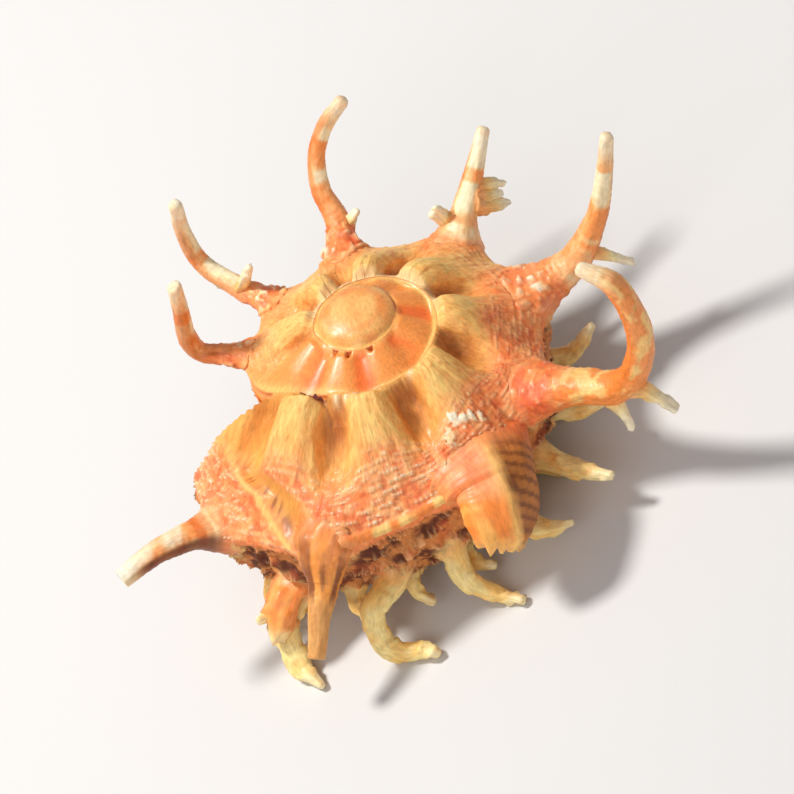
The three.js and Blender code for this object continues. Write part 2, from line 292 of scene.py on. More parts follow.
def grid_normals(points):
    along = np.gradient(points, axis=0)
    across = np.gradient(points, axis=1)
    normals = np.cross(along, across)
    return normals / np.maximum(np.linalg.norm(normals, axis=-1, keepdims=True), 1e-9)


# Spines: turn, path by the shoulder as (out, up, along the growth), widths and flatness.
SHOULDER_SPINES = [
    (-0.915, [(-2.8, -0.9), (0.9, 0.3), (5.5, 1.1), (6.3, 3.3), (5.7, 8.1), (5.2, 11.9)],
     [4.1, 2.9, 2.4, 2.6, 2.1, 1.8], 0.7),
    (-0.83, [(-2.8, -0.9), (0.9, 0.3), (6.2, 0.2), (11.2, 1.5), (12.3, 5.3), (11.5, 11)],
     [4.6, 3.3, 2.6, 2.3, 2, 1.7], 0.7),
    (-0.729, [(-2.8, -0.9), (0, 0.5), (4.6, 1.9, 0.4), (7.3, 4.5, -0.2), (9.2, 7.9, 0.7),
     (10.1, 10.9, 2.8), (10.5, 13.1, 5.5)], [5.5, 4.2, 2.8, 2.4, 2.1, 2, 1.7], 0.7),
    (-0.604, [(-2.8, -1.8), (0, 0.2), (3.1, 2.8), (6.7, 5.7), (10.3, 8.8)],
     [7.3, 5.5, 3.3, 2.4, 1.6], 0.7),
    (-0.495, [(-2.8, -0.9), (0.3, 0.2), (6.3, 2.2), (10.2, 6.6), (12.7, 11.7), (14.8, 17.4)],
     [8.2, 6.4, 4.2, 2.9, 2.3, 1.7], 0.7),
    (-0.379, [(-2.8, -0.9), (0, 0.4), (6.4, 2.3), (12, 3.6), (16.3, 9.8), (17.4, 16.4),
     (16.2, 21.2), (13, 22.8)], [8.2, 6.4, 4.6, 4.2, 3.7, 3.1, 2.8, 1.8], 0.7),
    (-0.294, [(-2.8, 0), (0, 0.3), (3.4, -0.8, 1), (5.2, -2.8, 2.6), (5.6, -4.9, 3.8)],
     [10.5, 9.9, 9.4, 8.4, 5.8], 0.32),
    (-0.142, [(-2.8, 0), (0, 0.3), (3, -2.6), (6.2, -4.6), (9.6, -7.4)],
     [7.3, 5.5, 3.7, 2.6, 2.1], 0.7),
    (-0.032, [(-2.8, -0.9), (0, 0.2), (3.6, 1.8), (8.6, 2.6), (12.8, 2)],
     [7.3, 5.9, 3.7, 2.9, 2.4], 0.7),
]
PRONGS = [
    (-0.83, [(5.7, -0.2), (4, 2.4), (2, 5.4)], [2.4, 1.7, 0.9]),
    (-0.83, [(8.8, 0.7), (9.2, -0.4), (9.5, -1.6)], [1.7, 1.1, 0.6]),
    (-0.729, [(3.3, 1.1, 0.6), (3.7, 1.8, 1.8), (4, 2.6, 2.9)], [2, 1.3, 0.7]),
    (-0.604, [(2.4, 2.2, -0.6), (1.5, 3.1, -1.7), (0.7, 4.4, -2.2)], [2.6, 2.2, 1.2]),
    (-0.604, [(2.2, 2.9, -0.6), (1.4, 3.6, -1.5), (0.9, 5.4, -1.6)], [1.8, 1.5, 0.8]),
    (-0.604, [(4.2, 3.3, 0.6), (5.9, 1.9, 1.9), (7.4, 0.8, 2.4)], [3.4, 2.4, 1.1]),
    (-0.604, [(4.9, 4, 0.4), (6.2, 3, 1.6), (7.2, 2.4, 2.2)], [3, 2, 1]),
    (-0.604, [(5.5, 4.6, 0.4), (6.9, 4, 1.3), (8.4, 3, 2)], [2.2, 1.5, 0.8]),
    (-0.495, [(7.8, 3), (10, 1), (12.2, -1.6)], [2.6, 1.7, 0.9]),
    (-0.379, [(13.2, 4.2), (15.6, 3), (17.8, 0.8)], [2.9, 2, 1.1]),
    (-0.379, [(9, 2.4), (10.6, 0), (11, -3.8)], [2.6, 1.8, 0.9]),
]
SIDE_SPINES = [
    (-0.465, [(-2.2, -6.4), (-0.6, -6.6), (2.5, -6.4), (5.3, -3.5)], [3.3, 2.8, 2.2, 1.2]),
    (-0.408, [(-2.2, -6.8), (0.2, -7.1), (3.1, -7.1), (5.9, -5.8)], [3.3, 2.8, 2.2, 1.2]),
    (-0.356, [(-2.4, -7), (0.2, -7.3), (4.2, -7.7), (9.3, -6.8)], [3.9, 3.1, 2.4, 1.1]),
    (-0.298, [(-2.4, -7.7), (0.9, -8.2), (4, -9, -1.5), (5.9, -9.1, -4.2)], [4, 3.3, 2.6, 0.9]),
    (-0.24, [(-2.4, -7), (-0.4, -7.7), (1.8, -10.6, -0.4), (3.8, -12.7, -3.2), (5.7, -12.4, -5)],
     [3.8, 3.2, 2.6, 1.9, 1.3], 0.6),
    (-0.184, [(-2.4, -6.8), (-0.4, -7.5), (2.9, -8.6, 2.4), (4.6, -12.8, 1.7), (5.4, -14.6, -3.2),
     (5.7, -15, -4)], [4.1, 3.6, 3.1, 2.7, 2.1, 1.6], 0.6),
    (-0.09, [(-2.4, -8.2), (0.4, -8.8), (2.4, -10.5), (4.8, -13.7, -3.1), (5.7, -14.7, -6.8)],
     [5, 4.4, 3.8, 2.9, 1.2], 0.42),
    (-0.09, [(0.4, -8.6), (2.4, -8.4, 0.7), (4.6, -7.9, 1.1)], [2.8, 2, 1.1]),
    (-0.093, [(-2.4, -6.2), (0.6, -6.6), (2.4, -7.8), (3.5, -9.2), (4.1, -10.2)],
     [4.6, 4.6, 4.6, 4, 2.4], 0.3),
]
HOOD = 6
FROND = 8


def foot_spine(turn):
    radius = radius_at(turn)
    root = -BASE_DEPTH * radius
    x = radius * math.cos(angle_at(turn))
    ground = x * math.tan(REST_LEAN) - APEX[2] / math.cos(REST_LEAN)
    foot = ground - 0.6 - height_at(turn)
    path = [(-0.28 * radius, 0.82 * root), (-0.2 * radius, 1.02 * root),
            (-0.06 * radius, root + 0.45 * (foot - root)), (0.02 * radius, foot)]
    return (turn, path, [4, 3.2, 2.6, 2])


def far_spine(turn):
    path = np.array([(-0.12, -0.3), (-0.01, -0.34), (0.16, -0.39), (0.3, -0.32)])
    return (turn, radius_at(turn) * path, [3.3, 2.6, 2, 1.1])


def small_spine(turn):
    radius = radius_at(turn)
    root = -0.82 * base_depth(turn) * radius
    path = [(-0.2 * radius, 0.85 * root), (-0.1 * radius, 1.03 * root),
            (-0.03 * radius, 1.16 * root, -0.7), (0.02 * radius, 1.2 * root, -2.2)]
    return (turn, path, [2.8, 2.3, 1.8, 1])


BASE_SPINES = (
    SIDE_SPINES
    + [foot_spine(turn) for turn in (-0.63, -0.54, -0.455, -0.38)]
    + [far_spine(turn) for turn in (-0.865, -0.79, -0.71, -0.63, -0.53)]
    + [small_spine(turn) for turn in (-0.86, -0.74, -0.3, -0.25, -0.194, -0.14, -0.095, -0.05)]
)


def by_shoulder(turn, place):
    out, up, side = (*place, 0)[:3]
    angle = angle_at(turn)
    reach = radius_at(turn) + out
    return np.array([
        reach * math.cos(angle) + side * math.sin(angle),
        reach * math.sin(angle) - side * math.cos(angle),
        height_at(turn) + up,
    ])


def through(points, share):
    """Points and tangents of a smooth curve through the given points, at shares from 0 to 1."""
    points = np.array(points)
    last = len(points) - 1
    ends = np.vstack([2 * points[0] - points[1], points, 2 * points[-1] - points[-2]])
    place = np.asarray(share) * last
    low = np.minimum(place.astype(int), last - 1)
    u = (place - low)[:, None]
    a, b, c, d = (ends[low + k] for k in range(4))
    gap = [np.sqrt(np.linalg.norm(q - p, axis=1, keepdims=True)) for p, q in ((a, b), (b, c), (c, d))]
    leave = ((b - a) / gap[0] - (c - a) / (gap[0] + gap[1]) + (c - b) / gap[1]) * gap[1]
    reach = ((c - b) / gap[1] - (d - b) / (gap[1] + gap[2]) + (d - c) / gap[2]) * gap[1]
    square, cube = -3 * b + 3 * c - 2 * leave - reach, 2 * b - 2 * c + leave + reach
    spot = b + leave * u + square * u ** 2 + cube * u ** 3
    heading = leave + 2 * square * u + 3 * cube * u ** 2
    return spot, heading / np.maximum(np.linalg.norm(heading, axis=1, keepdims=True), 1e-9)


class Spine:
    """A swept oval with its own coordinates: length from the root, share, and angle around."""

    def __init__(self, turn, path, widths, flat=0.7, step=0.18, sides=48):
        line = [by_shoulder(turn, place) for place in path]
        fine = np.linspace(0, 1, 400)
        spots, _ = through(line, fine)
        length = np.concatenate([[0], np.cumsum(np.linalg.norm(np.diff(spots, axis=0), axis=1))])
        count = max(int(length[-1] / step), 8)
        self.long = np.linspace(0, length[-1], count)
        self.share = np.interp(self.long, length, fine)
        self.centre, self.along = through(line, self.share)
        self.width = np.interp(self.share, np.linspace(0, 1, len(widths)), widths)
        angle = angle_at(turn)
        forward = np.array([math.sin(angle), -math.cos(angle), 0])
        thick = np.cross(forward, self.along)
        self.thick = thick / np.linalg.norm(thick, axis=1, keepdims=True)
        self.wide = np.cross(self.along, self.thick)
        self.flatness = flat + (0.9 - flat) * self.share
        self.around = np.linspace(0, math.tau, sides, endpoint=False)
        self.turn = turn
        self.sides = sides

    def coordinates(self):
        """Angle, length and share of each point, and the cosine and sine of the angle."""
        around = self.around[None, :]
        share = self.share[:, None] + 0 * around
        return around, self.long[:, None], share, np.cos(around), np.sin(around)

    def surface(self, swell=0.0, shove=0.0):
        """Rings of points, each swollen outwards and shoved along the spine."""
        def oval(x, y):
            return self.wide[:, None] * x[..., None] - self.thick[:, None] * y[..., None]

        cos, sin = np.cos(self.around), np.sin(self.around)
        half, flatness = 0.5 * self.width[:, None], self.flatness[:, None]
        out = oval(half * cos, half * flatness * sin)
        normal = oval(flatness * cos, sin + 0 * half)
        normal = normal / np.linalg.norm(normal, axis=-1, keepdims=True)
        swell, shove = np.asarray(swell)[..., None], np.asarray(shove)[..., None]
        return self.centre[:, None] + out + normal * swell + self.along[:, None] * shove


def grid_faces(rows, columns, closed=False):
    row = np.arange(rows - 1)[:, None]
    wrap = columns if closed else columns - 1
    a = row * columns + np.arange(wrap)
    b = row * columns + (np.arange(wrap) + 1) % columns
    return np.stack([a, b, b + columns, a + columns], -1).reshape(-1, 4)


def add_object(name, data):
    added = bpy.data.objects.new(name, data)
    bpy.context.scene.collection.objects.link(added)
    return added


def piece_from(name, points, quads, material, tint, growth, dull, triangles=()):
    """A mesh object from upright points in millimetres, inside the frame's box."""
    placed = np.clip(stand(points.reshape(-1, 3)) * MM, cad_low, cad_high)
    corners = np.concatenate([quads.ravel(), np.array(triangles, int).ravel()])
    sizes = np.repeat([4, 3], [len(quads), len(triangles)])
    mesh = bpy.data.meshes.new(name)
    mesh.vertices.add(len(placed))
    mesh.vertices.foreach_set("co", placed.astype(np.float32).ravel())
    mesh.loops.add(len(corners))
    mesh.loops.foreach_set("vertex_index", corners.astype(np.int32))
    mesh.polygons.add(len(sizes))
    mesh.polygons.foreach_set("loop_start", (np.cumsum(sizes) - sizes).astype(np.int32))
    mesh.update(calc_edges=True)
    mesh.validate()
    mesh.polygons.foreach_set("use_smooth", np.ones(len(mesh.polygons), bool))
    for key, kind, field, values in (
        ("tint", "FLOAT_COLOR", "color", np.insert(warm(tint.reshape(-1, 3)), 3, 1, axis=1)),
        ("growth", "FLOAT_VECTOR", "vector", growth),
        ("dull", "FLOAT", "value", np.ravel(dull) * np.ones(len(placed))),
    ):
        layer = mesh.attributes.new(key, kind, "POINT")
        layer.data.foreach_set(field, values.astype(np.float32).ravel())
    mesh.materials.append(material)
    return add_object(name, mesh)


# Materials.
def set_inputs(node, values):
    for key, value in values.items():
        node.inputs[key].default_value = value
    return node


def new_material(name):
    material = bpy.data.materials.new(name)
    material.use_nodes = True
    return material, material.node_tree.nodes["Principled BSDF"]


def shell_material(name, grain, bump, roughness, coat):
    """Tinted lime shell: the tint is varied by fine grain, and the same grain gives the bump."""
    material, shader = new_material(name)
    tree = material.node_tree

    def node(kind, inputs, **settings):
        added = tree.nodes.new("ShaderNode" + kind)
        for key, value in settings.items():
            setattr(added, key, value)
        return set_inputs(added, inputs)

    tint, place, dull = [
        node("Attribute", {}, attribute_name=key) for key in ("tint", "growth", "dull")]
    stretch = node("Mapping", {"Scale": grain})
    fine = node("TexNoise", {"Scale": 1.0, "Detail": 5.0, "Roughness": 0.65})
    shade = node("MapRange", {"From Min": 0.3, "From Max": 0.72, "To Min": 0.74, "To Max": 1.16})
    varied = node("Mix", {"Factor": 1.0}, data_type="RGBA", blend_type="MULTIPLY")
    gloss = node("MapRange", {"To Min": roughness[0], "To Max": roughness[1]})
    height = node("Math", {}, operation="MULTIPLY")
    lift = node("Bump", {"Strength": 0.7, "Distance": bump})
    for source, output, target, entry in (
        (place, "Vector", stretch, "Vector"),
        (stretch, "Vector", fine, "Vector"),
        (fine, "Fac", shade, "Value"),
        (tint, "Color", varied, "A"),
        (shade, "Result", varied, "B"),
        (varied, "Result", shader, "Base Color"),
        (dull, "Fac", gloss, "Value"),
        (gloss, "Result", shader, "Roughness"),
        (fine, "Fac", height, 0),
        (dull, "Fac", height, 1),
        (height, "Value", lift, "Height"),
        (lift, "Normal", shader, "Normal"),
    ):
        tree.links.new(source.outputs[output], target.inputs[entry])
    set_inputs(shader, {"Coat Weight": coat, "Coat Roughness": 0.18, "Subsurface Weight": 0.12,
                        "Subsurface Radius": (0.0012, 0.0006, 0.0003), "Subsurface Scale": 1.0})
    return material


ramp_material = shell_material("shell_ramp", (2.6, 1.1, 1.0), 0.00016, (0.26, 0.62), 0.12)
side_material = shell_material("shell_side", (1.8, 1.8, 1.8), 0.00022, (0.4, 0.8), 0.0)
spine_material = shell_material("shell_spine", (0.9, 2.4, 2.4), 0.00012, (0.3, 0.6), 0.08)
inner_material = shell_material("shell_inside", (0.5, 0.5, 0.5), 0.00003, (0.12, 0.3), 0.5)


# Surface relief and colour of the ramp.
CREASE_SPANS = [0.0, 0.19, 0.38, 0.56, 0.63, 0.73, 0.9, 1.0]
CREASE_TURNS = [-0.075, -0.048, -0.026, -0.012, -0.034, -0.072, -0.102, -0.125]
CORDS = np.linspace(0.47, 0.975, 15)
CRUMBS = [(-0.299, 0.585), (-0.306, 0.635), (-0.312, 0.68), (-0.318, 0.73), (-0.289, 0.65),
          (-0.281, 0.67), (-0.284, 0.69)]
SEAM_PITS = [(-1.118, 0.03), (-1.168, 0.04), (-1.244, 0.02)]
SEAM_PIT_SIZE = (0.55 / 75, 0.45 / 7)
SEAM_BEADS = [(-0.152, 0.025), (-0.171, 0.025), (-0.188, 0.025), (-0.292, 0.025)]
SEAM_BEAD_SIZE = (0.8 / 110, 0.6 / 12)
HOOD_PIT = (-0.287, 0.83)
HOOD_PIT_SIZE = (0.9 / 125, 0.6 / 11.5)
HOOD_WINDOW = (-0.312, 0.96)
HOOD_WINDOW_SIZE = (1.1 / 125, 0.9 / 11.5)


def crease_distance(turn, span):
    return turn - np.interp(span, CREASE_SPANS, CREASE_TURNS)


def spots(turn, span, places, size):
    """1 at each (turn, span) of the places, fading over the size."""
    return np.max([
        hill(turn, spot[0], size[0]) * hill(span, spot[1], size[1]) for spot in places], 0)


def ramp_relief(turn, span):
    length = length_at(turn)
    scale = radius_at(turn) / SHOULDER_RADIUS
    wave = fold_wave(turn)
    rough = smooth(turn, -1.02, -0.94)
    wobble = length + 0.9 * noise(3, length / 3, span * 7) + 1.2 * span
    past = crease_distance(turn, span)
    inner = between(span, (0.05, 0.2), (0.4, 0.7))
    outer = smooth(span, 0.42, 0.62)
    low_lip = smooth(span, 0.45, 0.66)
    band = between(past, (-0.052, -0.038), (-0.012, 0.001)) * low_lip
    plain = rough * (1 - band)
    edges = (1 - hill(past, 0.0, 0.016) * low_lip) * (1 - hill(past, -0.042, 0.01) * low_lip)
    scaly = plain * edges * (0.5 + 0.5 * smooth(turn, -0.4, -0.27))
    relief = -0.75 * smooth(-wave, -0.1, 0.9) * inner * scale * rough
    relief += 0.08 * (noise(5, wobble / 0.55, span * 4) - 0.5) * plain
    relief += 0.1 * saw(wobble / 2.3 + 0.8 * noise(8, span * 5, length / 9)) * plain
    relief += 0.16 * (rough_noise(9, length / 1.1, span * 12) - 0.5) * plain
    tips = np.zeros(relief.shape)
    for number, cord in enumerate(CORDS):
        drift = 0.03 * (noise(11, length / 5, number * 0.9) - 0.5)
        ridge = hill(span, cord + drift, 0.0125)
        flake = smooth(noise(13, length / 0.9, number * 5.1), 0.3, 0.75) * outer
        step = 0.75 + 0.5 * noise(12, number * 1.7, length / 5)
        phase = saw(wobble / step + 0.37 * number)
        relief += scaly * scale * ridge * (0.05 * outer + flake * (0.06 + 0.34 * phase))
        tips = np.maximum(tips, ridge * flake * (0.25 + 0.75 * smooth(phase, 0.3, 0.8)))
    relief -= 0.45 * hill(past, -0.024, 0.014) * low_lip
    relief += 0.4 * between(past, (-0.016, 0.002), (0.015, 0.06)) * low_lip
    bits = np.zeros(relief.shape)
    ragged = rough_noise(4, length / 0.5, span * 26) - 0.5
    for spot_turn, spot_span in CRUMBS:
        away = np.hypot((turn - spot_turn) * 125, (span - spot_span) * 11.5)
        bits = np.maximum(bits, 1 - smooth(away + 1.3 * ragged, 0.35, 0.6))
    relief = relief * (1 - bits) + bits * (0.4 + 0.7 * ragged)
    pit = spots(turn, span, [HOOD_PIT], HOOD_PIT_SIZE)
    pit += spots(turn, span, [HOOD_WINDOW], HOOD_WINDOW_SIZE)
    slit = between(turn, (-0.134, -0.128), (-0.08, -0.072)) * (1 - smooth(span, 0.06, 0.1))
    relief -= 0.5 * pit + 0.8 * slit
    beads = spots(turn, span, SEAM_BEADS, SEAM_BEAD_SIZE)
    dents = spots(turn, span, SEAM_PITS, SEAM_PIT_SIZE)
    margin = smooth(span, 0.915, 0.955) * between(turn, (-0.3, -0.26), (-0.15, -0.12))
    relief *= (1 - 0.8 * margin) * np.maximum(smooth(span, 0, 0.025), slit)
    relief += 0.35 * margin * (1 - smooth(span, 0.975, 1)) + 0.35 * beads - 0.7 * dents
    return relief, SimpleNamespace(
        tips=tips * (1 - margin) * scaly, band=band, past=past, bits=bits, pit=pit, slit=slit,
        dents=dents, rough=rough, wobble=wobble, beads=beads, margin=margin, wave=wave,
        low_lip=low_lip)


def ramp_tint(turn, span, marks, under):
    length = length_at(turn)
    wave, past = marks.wave, marks.past
    blotch = rough_noise(21, length / 2.2, span * 6) - 0.5
    crest = np.clip(0.5 + 0.42 * wave + 1.1 * blotch, 0, 1)
    striae = rough_noise(22, marks.wobble / 0.6, span * 11)
    patch = rough_noise(23, length / 1.4, span * 9)
    specks = smooth(rough_noise(20, length / 0.6, span * 22), 0.6, 0.75)
    trough = smooth(-wave, -0.1, 0.8) * between(span, (0.0, 0.04), (0.2, 0.5))
    late = smooth(turn, -0.62, -0.42)
    edge = 0.64 - 0.06 * late - 0.08 * smooth(wave, -0.5, 1)
    edge = edge + 0.16 * (rough_noise(24, length / 3.1, span * 3) - 0.5)
    pink = smooth(span, edge - 0.12, edge + 0.14) * (0.2 + 0.8 * late)
    hue = rough_noise(25, length / 1.6, span * 12)
    gaps = pink * smooth(rough_noise(26, marks.wobble / 0.8, span * 30), 0.45, 0.66)
    glow = smooth(noise(27, length / 1.1, span * 3), 0.5, 0.85)
    near_lip = smooth(past, -0.045, -0.02) * (1 - marks.low_lip)
    stripes = smooth(noise(28, length / 0.5, span * 8), 0.42, 0.68) * smooth(past, -0.026, -0.01)
    far_rim = (1 - smooth(span, 0.05, 0.13)) * between(turn, (-0.95, -0.9), (-0.5, -0.4))
    colour = layered(
        blend_of(OCHRE, CREAM, np.clip(0.75 * crest + 0.9 * (striae - 0.45), 0, 1)),
        (TAN, 0.4 * specks * (1 - smooth(span, 0.4, 0.6))),
        # The narrow troughs between the folds are darkened: painted shade.
        (PAINTED_TROUGH_SHADE, trough * (0.35 + 0.7 * patch)),
        (blend_of(ROSE, CORAL, smooth(hue, 0.32, 0.6)), 0.82 * pink),
        (BRICK, 0.62 * gaps * (1 - marks.tips)),
        (WHITE, 0.92 * marks.tips),
        (blend_of(ORANGE, CREAM, glow), 0.9 * marks.margin),
        (HONEY, 0.45 * near_lip),
        (layered(blend_of(SAND, TAN, 0.6 * patch), (UMBER, 0.8 * stripes)), 0.97 * marks.band),
        (CREAM, 0.75 * hill(past, 0.004, 0.006) * marks.low_lip),
        (WHITE, 0.97 * smooth(marks.bits, 0.1, 0.6)),
        # The pit and the window under the hood are dark brown: painted shade.
        (PIT_SHADE, 0.75 * np.clip(marks.pit, 0, 1)),
        (WHITE, 0.5 * far_rim),
        (WHITE, 0.8 * marks.beads),
        # The slit along the seam is dark red: partly the shell's red, partly painted shade.
        (SLIT_RED_AND_SHADE, 0.97 * marks.slit),
    )
    streak = smooth(noise(31, length / 2.4, span * 2.5), 0.3, 0.75)
    spire = layered(
        blend_of(PEACH, ORANGE, 0.5 * patch),
        (FLAME, 0.75 * streak * smooth(-wave, -0.4, 0.8)),
        (CREAM, 0.65 * hill(under, -0.35, 0.5) + 0.3 * smooth(0.1 - span, 0, 0.1)),
        (RUST, 0.9 * np.clip(marks.dents + hill(under, 0.1, 0.14), 0, 1)),
    )
    return mix(spire, colour, marks.rough)


def side_relief(turn, share):
    """Relief of the side and base: rows of torn scales, strongest on the upper side."""
    length = length_at(turn)
    scale = radius_at(turn) / SHOULDER_RADIUS
    upper = 1 - smooth(share, 0.4, 0.62)
    relief = (0.5 + 0.6 * upper) * (rough_noise(41, length / 1.2, share * 24) - 0.5)
    tips = np.zeros(relief.shape)
    for number in range(16):
        row = 0.03 + 0.058 * number
        drift = 0.035 * (noise(42, length / 2.2, number * 1.9) - 0.5)
        ridge = hill(share, row + drift, 0.017)
        phase = saw(length / (0.9 + 0.7 * noise(43, length / 4, number * 4.1)) + 0.41 * number)
        strong = smooth(noise(44, length / 1.1, number * 6.3), 0.2, 0.75)
        relief += (0.5 + 0.7 * upper) * ridge * strong * (0.2 + 0.8 * phase)
        tips = np.maximum(tips, ridge * strong * smooth(phase, 0.35, 0.8))
    fade = between(share, (0.0, 0.05), (0.8, 0.95)) * smooth(turn, -1.03, -0.97)
    return scale * relief * fade, tips


def side_tint(turn, share, tips):
    length = length_at(turn)
    patch = rough_noise(51, length / 1.5, share * 26)
    red = smooth(noise(52, length / 2.1, share * 15), 0.6, 0.85)
    return layered(
        blend_of(MAROON, (206, 142, 88), smooth(patch, 0.42, 0.6)),
        ((200, 96, 56), 0.4 * red),
        (blend_of((214, 172, 122), IVORY, smooth(patch, 0.3, 0.65)),
         smooth(share + 0.12 * (patch - 0.5), 0.4, 0.54)),
        ((246, 206, 172), 0.85 * tips),
        (blend_of(ROSE, CORAL, patch), 1 - smooth(share, 0.015, 0.05)),
        ((236, 216, 180), 0.6 * smooth(share, 0.6, 0.8)),
    )


# The coil's grids.
lip_length = length_at(LIP_TURN)
lengths = np.append(np.arange(length_at(FIRST_TURN), lip_length, ROW_STEP)[:-1], lip_length)
turn_growth = math.log(GROWTH_PER_TURN)
row_turns = np.log(lengths * turn_growth / (math.tau * SHOULDER_RADIUS)) / turn_growth


def covered(turn, reach):
    """How far a point of the ramp lies under the turn that follows, in millimetres."""
    return np.where(turn < -0.95, reach - suture(turn + 1)[0], -FAR)


def on_older(turn, reach, height):
    """Heights of the ramp where it is laid on the turn before, as far as that one's shoulder."""
    older = turn - 1
    seam_radius, _ = suture(older)
    share = (reach - seam_radius) / (radius_at(older) - seam_radius)
    _, below = ramp_point(older, np.clip(share, 0, 1.05))
    rise = np.maximum(below + 0.1 - height, 0)
    return height + rise * (1 - smooth(share, 0.96, 1.04))


def with_dome(reach, height, span):
    """Heights blended into the smooth dome of the oldest turns."""
    inner = np.clip(reach / NUCLEUS_RADIUS, 0, 1)
    beyond = np.maximum(reach - NUCLEUS_RADIUS, 0)
    dome = NUCLEUS_HEIGHT * (np.sqrt(1 - inner ** 2) - 1) - 0.02 - 3 * beyond
    gap = np.abs(height - dome)
    return np.maximum(height, dome) + smooth(span, 0, 0.25) * np.maximum(0.9 - gap, 0) ** 2 / 3.6


def ramp_grid(rows):
    even = np.linspace(0, 1, RAMP_COLUMNS)
    span = even * (1.35 - 0.35 * even)
    edge = smooth(rows, 0.03, LIP_TURN)[:, None]
    scallop = np.abs((span * 15) % 1 - 0.5) * (0.4 + noise(1, span * 9, 0))
    turn = rows[:, None] - LIP_LEAN_AT_SEAM * (1 - span) - 0.006 * edge * scallop
    reach, height = ramp_point(turn, span)
    crest = 0.9 * smooth(fold_wave(turn), -0.7, 0.9) * hill(span, 0.25, 0.22)
    crest = crest * smooth(turn, -0.95, -0.8)
    near_lip = 1.3 * smooth(turn, -0.14, 0.0) * hill(span, 0.15, 0.25)
    height = height + smooth(span, 0, 0.08) * np.maximum(crest, near_lip)
    height = on_older(turn, reach, height)
    under = covered(turn, reach)
    meets = between(under, (-0.8, -0.05), (-0.03, 0.3)) * smooth(-1.14 - turn, -0.02, 0.02)
    height = height + meets * np.maximum(suture(turn + 1)[1] - 0.04 - height, 0)
    height = height - 0.9 * smooth(under, 0.05, 0.9) - 1.3 * smooth(under, 0.9, 2.2)
    height = with_dome(reach, height, span)
    return turn, np.broadcast_to(span, turn.shape), upright(reach, height, turn)


SIDE_REACH, SIDE_DROP, SIDE_INDEX = side_curve()


def side_grid(rows):
    turn = rows[:, None] - LIP_LEAN_AT_FOOT * 11 / 12 * SIDE_INDEX
    radius = radius_at(turn)
    near = 1 + keel(turn) * (1 - smooth(SIDE_INDEX, 0, 0.09))
    hidden = (1 - smooth(turn, -1.05, -0.99)) * (1 - smooth(SIDE_INDEX, 0.2, 0.4))
    reach = SIDE_REACH * radius * near - hidden
    height = height_at(turn) - SIDE_DROP * base_depth(turn) * radius - 1.8 * hidden
    return turn, np.broadcast_to(SIDE_INDEX, turn.shape), upright(reach, height, turn)


def seam_strip(side_points, ramp_points):
    """The short inner strip that closes each section between the base and the seam."""
    share = np.linspace(0, 1, SEAM_COLUMNS)[None, 1:, None]
    return side_points[:, -1:] * (1 - share) + ramp_points[:, :1] * share


shoulder_forms = [Spine(*form) for form in SHOULDER_SPINES]
base_forms = [Spine(*form, step=0.3, sides=18) for form in BASE_SPINES]
prong_forms = [Spine(*form, step=0.25, sides=14) for form in PRONGS]


def fillet(points, forms, blend):
    """How far each point moves out to meet the spines that stand near it, and how near they are."""
    flat = points.reshape(-1, 3)
    lift = np.zeros(len(flat))
    near = np.full(len(flat), FAR)
    for form in forms:
        reach = blend * form.width[0] / 7
        part = form.long < 0.5 * form.long[-1]
        centres = form.centre[part][::2]
        radii = 0.5 * form.width[part][::2] * (0.5 + 0.5 * form.flatness[part][::2])
        low, high = centres.min(0) - reach - 4, centres.max(0) + reach + 4
        chosen = np.nonzero(((flat > low) & (flat < high)).all(1))[0]
        gaps = np.linalg.norm(flat[chosen, None] - centres, axis=2) - radii
        gap = gaps.min(1)
        push = np.clip((reach - np.maximum(gap, 0)) / reach, 0, 1) ** 2 * reach / 4
        lift[chosen] = np.maximum(lift[chosen], push)
        near[chosen] = np.minimum(near[chosen], gap)
    return lift.reshape(points.shape[:-1]), near.reshape(points.shape[:-1])


